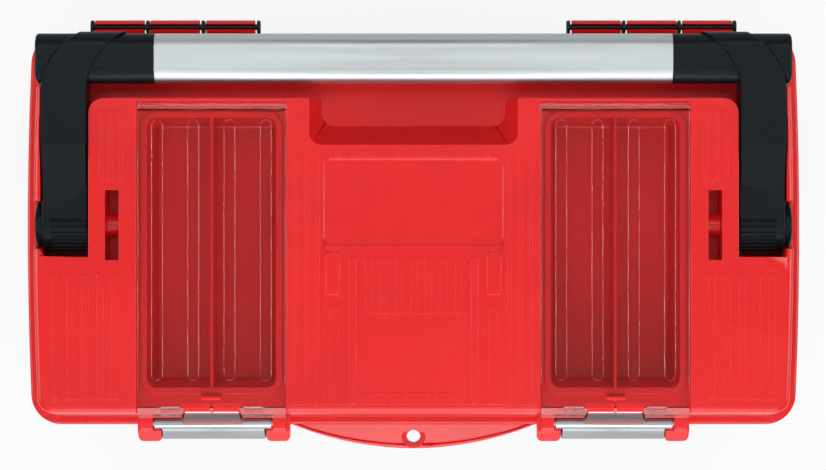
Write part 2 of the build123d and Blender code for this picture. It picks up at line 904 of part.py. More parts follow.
# Handle: curved band of the right arm, from its hub round over the sleeve
with BuildPart() as arm_band:
    band_rear_y = grip_rear_y + band_proud
    with BuildSketch(Plane.XY.offset(channel_z)):
        with BuildLine():
            Line((arm_outer_x, handle_axis_y - hub_radius), (arm_outer_x, band_start_y))
            ThreePointArc(
                (arm_outer_x, band_start_y),
                (arm_outer_x - band_sweep / 3, (band_start_y + band_rear_y) / 2 + band_sweep / 10),
                (arm_outer_x - band_sweep, band_rear_y),
            )
            Line(
                (arm_outer_x - band_sweep, band_rear_y), (arm_inner_x - band_sweep, band_rear_y)
            )
            ThreePointArc(
                (arm_inner_x - band_sweep, band_rear_y),
                (arm_inner_x - band_sweep / 3, (band_start_y + band_rear_y) / 2 + band_sweep / 10),
                (arm_inner_x, band_start_y),
            )
            Line((arm_inner_x, band_start_y), (arm_inner_x, handle_axis_y - hub_radius))
            Line(
                (arm_inner_x, handle_axis_y - hub_radius), (arm_outer_x, handle_axis_y - hub_radius)
            )
        make_face()
    extrude(amount=2 * grip_height)
    top_z = grip_z + grip_height / 2 + band_proud
    low_z = grip_z - grip_height / 2 - band_proud
    with BuildSketch(Plane.YZ):
        with BuildLine():
            Polyline(
                (handle_axis_y, handle_z - hub_radius),
                (handle_axis_y + arm_low_run, handle_z - hub_radius + band_proud),
                (grip_front_y - wall, low_z),
                (band_rear_y, low_z),
                (band_rear_y, top_z),
                (handle_axis_y + arm_top_start, top_z),
                (handle_axis_y + arm_rise_start, handle_z + hub_radius),
                (handle_axis_y, handle_z + hub_radius),
                close=True,
            )
        face = make_face()
        fillet(face.vertices().sort_by(Axis.Y)[-2:], grip_corner)
        with Locations((handle_axis_y, handle_z)):
            Circle(hub_radius)
    extrude(amount=overall_length, both=True, mode=Mode.INTERSECT)

# Handle: right arm with its sleeve, its spigot inside the grip and its ribbed hub
with BuildPart() as handle_arm:
    with BuildSketch(Plane.YZ.offset(sleeve_inner_x)):
        with Locations((grip_y, grip_z)):
            RectangleRounded(grip_width, grip_height, grip_corner)
    extrude(amount=sleeve_length)
    fillet(handle_arm.faces().sort_by(Axis.X)[-1].edges(), sleeve_round)
    add(arm_band.part)
    with BuildSketch(Plane.YZ.offset(sleeve_inner_x - spigot_length)):
        with Locations((grip_y, grip_z)):
            spigot_shrink = 2 * (grip_wall + sleeve_gap)
            corner = grip_corner - grip_wall - sleeve_gap
            RectangleRounded(grip_width - spigot_shrink, grip_height - spigot_shrink, corner)
    extrude(amount=spigot_length + wall)
    for count in range(hub_groove_count):
        angle = math.radians(groove_first_angle + count * hub_groove_step)
        rod_along_x(
            hub_groove,
            arm_inner_x - hub_groove,
            arm_inner_x + hub_groove_length,
            handle_axis_y + hub_radius * math.cos(angle),
            handle_z + hub_radius * math.sin(angle),
            mode=Mode.SUBTRACT,
        )
    rod_along_x(
        pivot_radius + running_gap, arm_inner_x, arm_outer_x, handle_axis_y, handle_z, Mode.SUBTRACT
    )
    with Locations((sleeve_inner_x - screw_inset, grip_y, grip_z - grip_height / 2)):
        Cylinder(
            screw_radius + running_gap,
            screw_length + seat_gap,
            align=(Align.CENTER, Align.CENTER, Align.MIN),
            mode=Mode.SUBTRACT,
        )

# Handle: right pivot pin with its round cap
with BuildPart() as handle_pivot:
    rod_along_x(cap_radius, arm_outer_x, arm_outer_x + cap_thickness, handle_axis_y, handle_z)
    fillet(handle_pivot.faces().sort_by(Axis.X)[-1].edges(), cap_round)
    pivot_end = plateau_half - pivot_depth + seat_gap
    rod_along_x(pivot_radius, pivot_end, arm_outer_x, handle_axis_y, handle_z)

# Handle: countersunk screws under the grip
with BuildPart() as grip_screws:
    for side in sides:
        with Locations((side * (grip_length / 2 - screw_inset), grip_y, grip_z - grip_height / 2)):
            Cylinder(screw_radius, screw_length, align=(Align.CENTER, Align.CENTER, Align.MIN))
            Cone(
                screw_head_radius,
                screw_radius,
                screw_head_radius - screw_radius,
                align=(Align.CENTER, Align.CENTER, Align.MIN),
            )

# Latch, right: sheet rolled round its pin, with a hook for the catch and a finger lip
with BuildPart() as latch_plate:
    with BuildSketch(Plane.YZ.offset(organizer_x - latch_roll_half)):
        with Locations((latch_axis_y, latch_z)):
            Circle(latch_roll_radius)
            Circle(latch_pin_radius + running_gap, mode=Mode.SUBTRACT)
    extrude(amount=2 * latch_roll_half)
    face_y = latch_axis_y - latch_stand_off
    lip_z = latch_z - latch_drop + latch_lip
    with BuildSketch(Plane.YZ.offset(organizer_x - latch_plate_half)):
        with BuildLine():
            FilletPolyline(
                (latch_axis_y - latch_roll_radius + latch_sheet / 2, latch_z - latch_sheet / 2),
                (latch_axis_y - latch_neck_reach, latch_z - latch_neck_drop),
                (face_y - latch_bulge, latch_z - latch_shoulder),
                (face_y, latch_z - latch_drop + latch_flat),
                (face_y, lip_z),
                (face_y - latch_lip_flare, latch_z - latch_drop),
                radius=latch_bend,
            )
        trace(line_width=latch_sheet)
    extrude(amount=2 * latch_plate_half)
    hook_top_z = catch_z - hook_gap
    block(
        (organizer_x - catch_half, face_y, hook_top_z - hook_thickness),
        (organizer_x + catch_half, face_y + hook_reach, hook_top_z),
    )

# Latch pin and hinge rod, right
with BuildPart() as latch_pin:
    pin_reach = roll_lug_inner + latch_pin_end - seat_gap
    rod_along_x(
        latch_pin_radius, organizer_x - pin_reach, organizer_x + pin_reach, latch_axis_y, latch_z
    )

with BuildPart() as hinge_rod:
    rod_along_x(
        rod_radius, hinge_centre - hinge_length / 2, hinge_centre + hinge_length / 2, hinge_y, hinge_z
    )

# Tub: raised ribs and side pads, cut from a shell just outside its walls
with BuildPart() as tub_ribs:
    leaning_block(tub_rim_z, tub_inset - rib_proud, foot_height, tub_slope)
    with BuildSketch(Plane.XY.offset(rib_low_z)):
        for side in sides:
            with Locations((side * organizer_x, 0)):
                with GridLocations(rib_pitch, 1, rib_count, 1):
                    Rectangle(rib_width, 2 * overall_depth)
            with Locations((side * corner_rib_x, 0)):
                with GridLocations(rib_pitch, 1, corner_rib_count, 1):
                    Rectangle(rib_width, 2 * overall_depth)
    extrude(amount=rib_high_z - rib_low_z, mode=Mode.INTERSECT)

with BuildPart() as tub_pads:
    leaning_block(skirt_bottom, -ledge_inset, skirt_bottom - pad_drop, tub_slope)
    with BuildSketch(Plane.XY):
        for pad_y, pad_width in pads:
            with Locations((0, pad_y)):
                Rectangle(2 * overall_length, pad_width)
    extrude(amount=skirt_bottom, mode=Mode.INTERSECT)

# Tub: the space inside it
cavity_inset = tub_inset + tub_wall
with BuildPart() as tub_cavity:
    leaning_block(tub_rim_z, cavity_inset, foot_height + tub_floor, tub_slope)
    fillet(tub_cavity.faces().sort_by(Axis.Z)[0].edges(), floor_round)

# Tray levels and half sizes, from the space inside the tub at the tray's seat
seat_inset = cavity_inset + side_bow + (tub_rim_z - tray_seat_z) * tub_slope + tray_gap
tray_half_x = half_length - seat_inset
tray_front_y = skirt_front_y + seat_inset - side_bow
tray_rear_y = skirt_rear_y - seat_inset + side_bow
tray_middle_y = (tray_front_y + tray_rear_y) / 2
tray_size_y = tray_rear_y - tray_front_y
tray_body_half = tray_half_x - tray_flange

with BuildPart() as tub:
    leaning_block(tub_rim_z, tub_inset, foot_height, tub_slope)
    fillet(tub.faces().sort_by(Axis.Z)[0].edges(), floor_round)
    with BuildSketch(Plane.XY.offset(ledge_z)):
        bowed_outline(ledge_inset)
    extrude(amount=ledge_height)
    add(tub_ribs.part)
    add(tub_pads.part)
    with BuildSketch(Plane.XY.offset(skirt_bottom - tub_tongue_thickness)):
        tongue_plan(-overall_depth / 2, 0)
    extrude(amount=tub_tongue_thickness)
    gusset_root_y = skirt_front_y + skirt_step
    for place in (-gusset_place, gusset_place):
        with BuildSketch(Plane.YZ.offset(place - gusset_width / 2)):
            with BuildLine():
                Polyline(
                    (gusset_root_y, skirt_bottom - tub_tongue_thickness),
                    (padlock_y, skirt_bottom - tub_tongue_thickness),
                    (gusset_root_y, skirt_bottom - tub_tongue_thickness - gusset_drop),
                    close=True,
                )
            make_face()
        extrude(amount=gusset_width)
    tub_bottom_inset = tub_inset + (tub_rim_z - foot_height) * tub_slope
    for side in sides:
        block(
            (side * organizer_x - catch_half, skirt_front_y + ledge_inset - catch_reach, catch_z),
            (side * organizer_x + catch_half, skirt_front_y + skirt_step + tub_wall, ledge_z),
        )
        for lug in range(hinge_bays + 1):
            bay = (hinge_length - hinge_lug) / hinge_bays
            low = side * hinge_centre - hinge_length / 2 + lug * bay
            rod_along_x(hinge_radius, low, low + hinge_lug, hinge_y, hinge_z)
            block(
                (low, skirt_rear_y - skirt_step, ledge_z),
                (low + hinge_lug, hinge_y + hinge_radius, skirt_bottom),
            )
            block(
                (low, hinge_y - hinge_radius, ledge_z),
                (low + hinge_lug, hinge_y + hinge_radius, hinge_z),
            )
        foot_x = half_length - side_bow - tub_bottom_inset - foot_inset - foot_length / 2
        front_foot_y = skirt_front_y + tub_bottom_inset + foot_inset + foot_width / 2
        rear_foot_y = skirt_rear_y - tub_bottom_inset - foot_inset - foot_width / 2
        with BuildSketch(Plane.XY):
            with Locations((side * foot_x, front_foot_y), (side * foot_x, rear_foot_y)):
                RectangleRounded(foot_length, foot_width, foot_corner)
        extrude(amount=foot_height + tub_floor / 2)
    add(tub_cavity.part, mode=Mode.SUBTRACT)
    for side in sides:
        low_x, high_x = sorted((side * (tray_body_half + tray_gap), side * (half_length - tub_inset - wall)))
        block(
            (low_x, tray_middle_y - shelf_length / 2, tray_seat_z - shelf_thickness),
            (high_x, tray_middle_y + shelf_length / 2, tray_seat_z),
        )
        rod_along_x(
            rod_radius + running_gap,
            side * hinge_centre - hinge_length / 2 - rod_overrun,
            side * hinge_centre + hinge_length / 2 + rod_overrun,
            hinge_y,
            hinge_z,
            mode=Mode.SUBTRACT,
        )
    with Locations((0, padlock_y, skirt_bottom)):
        Cylinder(padlock_radius, 4 * tub_tongue_thickness, mode=Mode.SUBTRACT)

# Tote tray with its middle web and carrying bar
with BuildPart() as tote_tray:
    body_y = tray_size_y - 2 * tray_flange
    tray_top_z = tray_seat_z + tray_flange_thickness
    with BuildSketch(Plane.XY.offset(tray_seat_z)):
        with Locations((0, tray_middle_y)):
            RectangleRounded(2 * tray_half_x, tray_size_y, tray_corner)
    extrude(amount=tray_flange_thickness)
    with BuildSketch(Plane.XY.offset(tray_top_z)):
        with Locations((0, tray_middle_y)):
            RectangleRounded(2 * tray_body_half, body_y, tray_corner - tray_wall)
    extrude(amount=-tray_depth, taper=tray_draft)
    with BuildSketch(Plane.XY.offset(tray_top_z)):
        with Locations((0, tray_middle_y)):
            inner_x = 2 * (tray_body_half - tray_wall)
            RectangleRounded(inner_x, body_y - 2 * tray_wall, tray_corner - 2 * tray_wall)
    extrude(amount=tray_wall - tray_depth, taper=tray_draft, mode=Mode.SUBTRACT)
    block(
        (-tray_body_half + tray_wall, tray_middle_y - tray_web / 2, tray_top_z - tray_depth + tray_wall / 2),
        (tray_body_half - tray_wall, tray_middle_y + tray_web / 2, tray_top_z),
    )
    block(
        (-tray_handle_half, tray_middle_y - tray_web / 2, tray_top_z - tray_depth + tray_wall / 2),
        (tray_handle_half, tray_middle_y + tray_web / 2, tray_handle_top_z - tray_bar_radius),
    )
    bar_z = tray_handle_top_z - tray_bar_radius
    hole_top_z = bar_z - tray_bar_radius
    block(
        (-tray_hole_half, tray_middle_y - tray_bar_radius, hole_top_z - tray_hole_height),
        (tray_hole_half, tray_middle_y + tray_bar_radius, hole_top_z),
        mode=Mode.SUBTRACT,
    )
    rod_along_x(tray_bar_radius, -tray_handle_half, tray_handle_half, tray_middle_y, bar_z)

finish(lid_shell.part, "lid_shell")
finish(tub.part, "tub")
finish(tote_tray.part, "tote_tray")
finish(grip_tube.part, "grip_tube")
finish(grip_screws.part, "grip_screws")
handed = {
    "organizer_cover": cover.part,
    "handle_arm": handle_arm.part,
    "handle_pivot": handle_pivot.part,
    "latch_plate": latch_plate.part,
    "latch_pin": latch_pin.part,
    "hinge_rod": hinge_rod.part,
}
for name, part in handed.items():
    finish(part, f"{name}_right")
    finish(mirror(part, about=Plane.YZ), f"{name}_left")
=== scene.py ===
"""Tool box: finishes, dressed pieces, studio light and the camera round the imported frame.

Metres. X runs along the box, Y from its front to its hinges and Z up, as in the frame.
"""

import json
import logging
import math
from dataclasses import dataclass, field
from enum import Enum

import bmesh
import bpy
from mathutils import Matrix

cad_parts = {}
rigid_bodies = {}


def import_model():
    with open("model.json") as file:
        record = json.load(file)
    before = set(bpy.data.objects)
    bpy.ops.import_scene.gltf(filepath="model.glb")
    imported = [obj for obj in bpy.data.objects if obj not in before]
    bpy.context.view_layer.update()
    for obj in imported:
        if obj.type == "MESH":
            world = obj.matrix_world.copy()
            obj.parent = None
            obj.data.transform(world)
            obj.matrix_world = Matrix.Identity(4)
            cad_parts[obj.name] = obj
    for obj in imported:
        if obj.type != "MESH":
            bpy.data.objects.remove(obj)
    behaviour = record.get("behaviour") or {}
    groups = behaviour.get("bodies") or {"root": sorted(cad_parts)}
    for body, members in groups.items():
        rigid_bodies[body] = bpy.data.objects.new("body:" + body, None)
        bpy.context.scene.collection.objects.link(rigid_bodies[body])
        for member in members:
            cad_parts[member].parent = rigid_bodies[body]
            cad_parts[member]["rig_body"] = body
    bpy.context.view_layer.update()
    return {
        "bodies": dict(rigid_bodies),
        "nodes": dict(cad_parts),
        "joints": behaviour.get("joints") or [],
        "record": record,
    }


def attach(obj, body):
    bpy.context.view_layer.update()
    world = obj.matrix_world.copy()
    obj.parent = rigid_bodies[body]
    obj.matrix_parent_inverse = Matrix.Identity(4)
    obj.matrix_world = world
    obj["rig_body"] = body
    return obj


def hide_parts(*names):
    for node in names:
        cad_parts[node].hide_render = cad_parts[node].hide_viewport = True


MM = 0.001
LOG = logging.getLogger("tool_box")

Vector3 = tuple[float, float, float]
Pair = tuple[float, float]

# Merging and rounding of copied CAD meshes
MERGE_DISTANCE = 0.002 * MM
FLAT_ANGLE = math.radians(0.4)
SHARP_ANGLE = math.radians(38.0)
CROSSING_COSINE = 0.8
CROSSING_ROOM = 2.2
FACE_ROOM = 1.05
ROUND_SEGMENTS = 2
FLAT_WEIGHT = 90
EQUAL_AREA = 20.0 * MM**2

# Middle part of a noise texture's values, where most of them lie
NOISE_SPAN = (0.3, 0.7)
UNIT_SPAN = (0.0, 1.0)
LINES_ALONG_X = (0.02, 1.0, 1.0)


class Merge(Enum):
    """How a node's loose triangles are merged before their edges are rounded."""

    FACES = "whole flat faces"
    QUADS = "four-sided faces, for flat faces with holes"


class NodeTree:
    """Adds nodes and links to one node tree."""

    def __init__(self, tree: bpy.types.NodeTree) -> None:
        """Keeps the tree.

        Args:
            tree: the tree that gets the nodes.
        """
        self.tree = tree

    def node(self, kind: str, **settings: object) -> bpy.types.Node:
        """Adds a node.

        Args:
            kind: the node's type name.
            settings: properties of the node.

        Returns:
            The new node.
        """
        made = self.tree.nodes.new(kind)
        for name, value in settings.items():
            setattr(made, name, value)
        return made

    def group(self, tree: bpy.types.NodeTree, **values: object) -> bpy.types.Node:
        """Adds a node group.

        Args:
            tree: the group's own tree.
            values: input values by name.

        Returns:
            The new group node.
        """
        made = self.node("ShaderNodeGroup", node_tree=tree)
        for name, value in values.items():
            made.inputs[name].default_value = value
        return made

    def link(self, source: bpy.types.NodeSocket, target: bpy.types.NodeSocket) -> None:
        """Links two sockets.

        Args:
            source: an output.
            target: an input.
        """
        self.tree.links.new(source, target)

    def feed(self, target: bpy.types.NodeSocket, value: object) -> None:
        """Links an input, or sets its value.

        Args:
            target: the input.
            value: a socket, or the value.
        """
        if isinstance(value, bpy.types.NodeSocket):
            self.link(value, target)
        else:
            target.default_value = value

    def place(self) -> bpy.types.NodeSocket:
        """Adds the object's own coordinates.

        Returns:
            The coordinates.
        """
        return self.node("ShaderNodeTexCoord").outputs["Object"]

    def math(self, operation: str, first: object, second: object) -> bpy.types.NodeSocket:
        """Adds a Math node.

        Args:
            operation: the operation's name.
            first: a socket or a number.
            second: a socket or a number.

        Returns:
            The node's output.
        """
        made = self.node("ShaderNodeMath", operation=operation)
        self.feed(made.inputs[0], first)
        self.feed(made.inputs[1], second)
        return made.outputs[0]

    def remap(
        self, value: bpy.types.NodeSocket, span: Pair, to_low: object, to_high: object
    ) -> bpy.types.NodeSocket:
        """Maps a range of values to another and clamps it.

        Args:
            value: the socket that is mapped.
            span: the values that become to_low and to_high.
            to_low: a socket or a number.
            to_high: a socket or a number.

        Returns:
            The mapped value.
        """
        made = self.node("ShaderNodeMapRange", clamp=True)
        for socket, given in zip(made.inputs, (value, *span, to_low, to_high)):
            self.feed(socket, given)
        return made.outputs[0]

    def stretch(self, vector: bpy.types.NodeSocket, factors: object) -> bpy.types.NodeSocket:
        """Multiplies a vector's parts.

        Args:
            vector: the vector.
            factors: a socket or three numbers.

        Returns:
            The new vector.
        """
        made = self.node("ShaderNodeVectorMath", operation="MULTIPLY")
        self.link(vector, made.inputs[0])
        self.feed(made.inputs[1], factors)
        return made.outputs[0]

    def noise(
        self, vector: bpy.types.NodeSocket, scale: object, detail: float
    ) -> bpy.types.NodeSocket:
        """Adds a noise texture.

        Args:
            vector: where the noise is read.
            scale: a socket or a number.
            detail: how many finer layers it has.

        Returns:
            The noise.
        """
        made = self.node("ShaderNodeTexNoise", noise_dimensions="3D")
        self.link(vector, made.inputs["Vector"])
        self.feed(made.inputs["Scale"], scale)
        made.inputs["Detail"].default_value = detail
        return made.outputs["Fac"]

    def blend(
        self, share: bpy.types.NodeSocket, first: object, second: object
    ) -> bpy.types.NodeSocket:
        """Blends two colours.

        Args:
            share: how much of the second colour shows.
            first: a socket or a colour.
            second: a socket or a colour.

        Returns:
            The blended colour.
        """
        made = self.node("ShaderNodeMix", data_type="RGBA")
        self.link(share, made.inputs[0])
        for socket, colour in ((made.inputs[6], first), (made.inputs[7], second)):
            self.feed(socket, (*colour, 1.0) if isinstance(colour, tuple) else colour)
        return made.outputs[2]

    def bump(
        self, height: bpy.types.NodeSocket, strength: float, depth: float
    ) -> bpy.types.NodeSocket:
        """Adds a bump.

        Args:
            height: the height, from 0 to 1.
            strength: the bump's share.
            depth: the height's depth in metres.

        Returns:
            The normal.
        """
        made = self.node("ShaderNodeBump")
        made.inputs["Strength"].default_value = strength
        made.inputs["Distance"].default_value = depth
        self.link(height, made.inputs["Height"])
        return made.outputs["Normal"]

    def finish(self, share: bpy.types.NodeSocket, first: object, second: object) -> None:
        """Mixes two shaders into the material's surface.

        Args:
            share: how much of the second shader shows.
            first: the first shader's node.
            second: the second shader's node.
        """
        made = self.node("ShaderNodeMixShader")
        sources = (share, first.outputs[0], second.outputs[0])
        for source, target in zip(sources, made.inputs):
            self.link(source, target)
        self.link(made.outputs[0], self.tree.nodes["Material Output"].inputs["Surface"])


@dataclass
class SurfaceGroups:
    """The shader node groups that several finishes share."""

    mottle_scale: float = 14.0
    broad_share: float = 0.16
    patch_scale: float = 30.0
    patch_span: Pair = (0.52, 0.72)
    scuff_scale: float = 700.0
    scuff_stretch: Vector3 = (0.08, 1.0, 0.6)
    scuff_span: Pair = (0.6, 0.75)
    patch_share: float = 0.3

    def __post_init__(self) -> None:
        """Builds each group once."""
        self.grain = self.build_grain()
        self.brushing = self.build_brushing()
        self.handling = self.build_handling()

    @staticmethod
    def new_group(
        name: str, inputs: dict[str, tuple[str, object]], outputs: tuple[str, ...]
    ) -> tuple[NodeTree, bpy.types.Node, bpy.types.Node]:
        """Makes an empty group with its sockets.

        Args:
            name: the group's name.
            inputs: socket type and default value by name.
            outputs: the names of the outputs, which are numbers.

        Returns:
            The group's builder, its input node and its output node.
        """
        group = bpy.data.node_groups.new(name, "ShaderNodeTree")
        for label, (kind, value) in inputs.items():
            socket = group.interface.new_socket(name=label, in_out="INPUT", socket_type=kind)
            socket.default_value = value
        for label in outputs:
            group.interface.new_socket(name=label, in_out="OUTPUT", socket_type="NodeSocketFloat")
        build = NodeTree(group)
        return build, build.node("NodeGroupInput"), build.node("NodeGroupOutput")

    def build_grain(self) -> bpy.types.NodeTree:
        """Fine moulding grain.

        Returns:
            A group that puts out a height and a soft mottle.
        """
        build, given, out = self.new_group(
            "moulding_grain", {"Scale": ("NodeSocketFloat", 1500.0)}, ("Height", "Mottle")
        )
        place = build.place()
        fine = build.noise(place, given.outputs["Scale"], 3.0)
        build.link(fine, out.inputs["Height"])
        build.link(build.noise(place, self.mottle_scale, 4.0), out.inputs["Mottle"])
        return build.tree

    def build_brushing(self) -> bpy.types.NodeTree:
        """Lines of a brushed or rolled metal.

        Returns:
            A group that puts out the lines as a height and as a tone.
        """
        build, given, out = self.new_group(
            "brushed_lines",
            {"Stretch": ("NodeSocketVector", (1.0, 1.0, 1.0)), "Scale": ("NodeSocketFloat", 900.0)},
            ("Height", "Tone"),
        )
        place = build.stretch(build.place(), given.outputs["Stretch"])
        lines = build.noise(place, given.outputs["Scale"], 5.0)
        build.link(lines, out.inputs["Height"])
        broad_scale = build.math("MULTIPLY", given.outputs["Scale"], self.broad_share)
        both = build.math("ADD", lines, build.noise(place, broad_scale, 2.0))
        build.link(build.math("MULTIPLY", both, 0.5), out.inputs["Tone"])
        return build.tree

    def build_handling(self) -> bpy.types.NodeTree:
        """Faint rubbed patches and short scuffs.

        Returns:
            A group that puts out a mask from 0 to 1.
        """
        build, given, out = self.new_group(
            "handling_marks", {"Amount": ("NodeSocketFloat", 0.5)}, ("Mask",)
        )
        place = build.place()
        patches = build.noise(place, self.patch_scale, 6.0)
        soft = build.remap(patches, self.patch_span, *UNIT_SPAN)
        scuffs = build.noise(build.stretch(place, self.scuff_stretch), self.scuff_scale, 2.0)
        sharp = build.remap(scuffs, self.scuff_span, *UNIT_SPAN)
        within = build.math("MULTIPLY", sharp, 1.0 - self.patch_share)
        mask = build.math("MULTIPLY", soft, build.math("ADD", within, self.patch_share))
        build.link(build.math("MULTIPLY", mask, given.outputs["Amount"]), out.inputs["Mask"])
        return build.tree


def new_material(name: str) -> tuple[bpy.types.Material, NodeTree, bpy.types.Node]:
    """Makes a material with a bare Principled shader.

    Args:
        name: the material's name.

    Returns:
        The material, its node builder and its shader.
    """
    material = bpy.data.materials.new(name)
    material.use_nodes = True
    build = NodeTree(material.node_tree)
    return material, build, material.node_tree.nodes["Principled BSDF"]


def tones(colour: Vector3, change: float) -> tuple[Vector3, Vector3]:
    """The darker and the lighter tone of a colour.

    Args:
        colour: the colour.
        change: the share by which it darkens and lightens.

    Returns:
        Both tones.
    """
    dark = tuple(c * (1 - change) for c in colour)
    light = tuple(min(c * (1 + change), 1.0) for c in colour)
    return dark, light


@dataclass(frozen=True)
class MouldedPlastic:
    """A grained, opaque moulded plastic."""

    name: str
    colour: Vector3
    worn_colour: Vector3
    roughness: float
    grain_scale: float
    grain_depth: float
    mottle: float = 0.06
    handling: float = 0.5
    specular: float = 0.3
    grain_strength: float = 0.5
    smoother: float = 0.04
    rougher: float = 0.05
    worn_roughness: float = 0.18

    def build(self, groups: SurfaceGroups) -> bpy.types.Material:
        """Builds the material.

        Args:
            groups: the shared node groups.

        Returns:
            The new material.
        """
        material, build, shader = new_material(self.name)
        grain = build.group(groups.grain, Scale=self.grain_scale)
        marks = build.group(groups.handling, Amount=self.handling)
        mottle = build.remap(grain.outputs["Mottle"], NOISE_SPAN, *UNIT_SPAN)
        shade = build.blend(mottle, *tones(self.colour, self.mottle))
        worn = build.blend(marks.outputs["Mask"], shade, self.worn_colour)
        build.link(worn, shader.inputs["Base Color"])
        low, high = self.roughness - self.smoother, self.roughness + self.rougher
        speckle = build.remap(grain.outputs["Height"], NOISE_SPAN, low, high)
        rubbed = build.math("MULTIPLY", marks.outputs["Mask"], self.worn_roughness)
        build.link(build.math("ADD", rubbed, speckle), shader.inputs["Roughness"])
        normal = build.bump(grain.outputs["Height"], self.grain_strength, self.grain_depth)
        build.link(normal, shader.inputs["Normal"])
        shader.inputs["Specular IOR Level"].default_value = self.specular
        return material


@dataclass(frozen=True)
class DrawnMetal:
    """A brushed, rolled or plated metal with lines along X."""

    name: str
    colour: Vector3
    roughness: float
    line_scale: float = 900.0
    line_depth: float = 0.01 * MM
    line_strength: float = 0.35
    tone: float = 0.08
    tone_span: Pair = (0.35, 0.65)
    anisotropy: float = 0.5
    handling: float = 0.35
    smoother: float = 0.06
    rougher: float = 0.08
    worn_roughness: float = 0.12

    def build(self, groups: SurfaceGroups) -> bpy.types.Material:
        """Builds the material.

        Args:
            groups: the shared node groups.

        Returns:
            The new material.
        """
        material, build, shader = new_material(self.name)
        lines = build.group(groups.brushing, Stretch=LINES_ALONG_X, Scale=self.line_scale)
        marks = build.group(groups.handling, Amount=self.handling)
        tone = build.remap(lines.outputs["Tone"], self.tone_span, *UNIT_SPAN)
        build.link(build.blend(tone, *tones(self.colour, self.tone)), shader.inputs["Base Color"])
        low, high = self.roughness - self.smoother, self.roughness + self.rougher
        speckle = build.remap(lines.outputs["Height"], NOISE_SPAN, low, high)
        rubbed = build.math("MULTIPLY", marks.outputs["Mask"], self.worn_roughness)
        build.link(build.math("ADD", speckle, rubbed), shader.inputs["Roughness"])
        normal = build.bump(lines.outputs["Height"], self.line_strength, self.line_depth)
        build.link(normal, shader.inputs["Normal"])
        shader.inputs["Metallic"].default_value = 1.0
        shader.inputs["Anisotropic"].default_value = self.anisotropy
        return material


@dataclass(frozen=True)
class ClearPlastic:
    """A clear moulded cover with a faint tint, through which light passes."""

    name: str
    tint: Vector3
    shadow: Vector3
    roughness: float
    index: float = 1.49
    specular: float = 0.5
    handling: float = 0.4
    worn_roughness: float = 0.1

    def build(self, groups: SurfaceGroups) -> bpy.types.Material:
        """Builds the material.

        Args:
            groups: the shared node groups.

        Returns:
            The new material.
        """
        material, build, shader = new_material(self.name)
        shader.inputs["Base Color"].default_value = (*self.tint, 1.0)
        shader.inputs["Transmission Weight"].default_value = 1.0
        shader.inputs["IOR"].default_value = self.index
        shader.inputs["Specular IOR Level"].default_value = self.specular
        marks = build.group(groups.handling, Amount=self.handling)
        rubbed = build.math("MULTIPLY", marks.outputs["Mask"], self.worn_roughness)
        build.link(build.math("ADD", rubbed, self.roughness), shader.inputs["Roughness"])
        through = build.node("ShaderNodeBsdfTransparent")
        through.inputs["Color"].default_value = (*self.shadow, 1.0)
        path = build.node("ShaderNodeLightPath")
        build.finish(path.outputs["Is Shadow Ray"], shader, through)
        return material


@dataclass
class Finishes:
    """Every finish of the tool box, built once."""

    groups: SurfaceGroups = field(default_factory=SurfaceGroups)

    def __post_init__(self) -> None:
        """Builds the materials."""
        self.red = MouldedPlastic(
            "red_lid",
            colour=(0.79, 0.014, 0.016),
            worn_colour=(0.80, 0.05, 0.05),
            roughness=0.28,
            grain_scale=2600.0,
            grain_depth=0.02 * MM,
            handling=0.2,
            specular=0.36,
        ).build(self.groups)
        self.black = MouldedPlastic(
            "black_tub",
            colour=(0.008, 0.009, 0.011),
            worn_colour=(0.03, 0.03, 0.032),
            roughness=0.45,
            grain_scale=1700.0,
            grain_depth=0.05 * MM,
        ).build(self.groups)
        self.handle = MouldedPlastic(
            "black_handle",
            colour=(0.004, 0.008, 0.011),
            worn_colour=(0.012, 0.016, 0.020),
            roughness=0.38,
            grain_scale=2200.0,
            grain_depth=0.02 * MM,
            specular=0.15,
        ).build(self.groups)
        self.grip = DrawnMetal(
            "brushed_grip",
            colour=(0.58, 0.62, 0.635),
            roughness=0.48,
            tone=0.05,
            line_depth=0.006 * MM,
        ).build(self.groups)
        self.latch = DrawnMetal(
            "plated_latch", colour=(0.35, 0.37, 0.385), roughness=0.32, tone=0.05
        ).build(self.groups)
        self.steel = DrawnMetal(
            "plain_steel", colour=(0.42, 0.42, 0.43), roughness=0.35
        ).build(self.groups)
        self.clear = ClearPlastic(
            "clear_cover", tint=(0.79, 0.78, 0.78), shadow=(0.68, 0.67, 0.67), roughness=0.02
        ).build(self.groups)


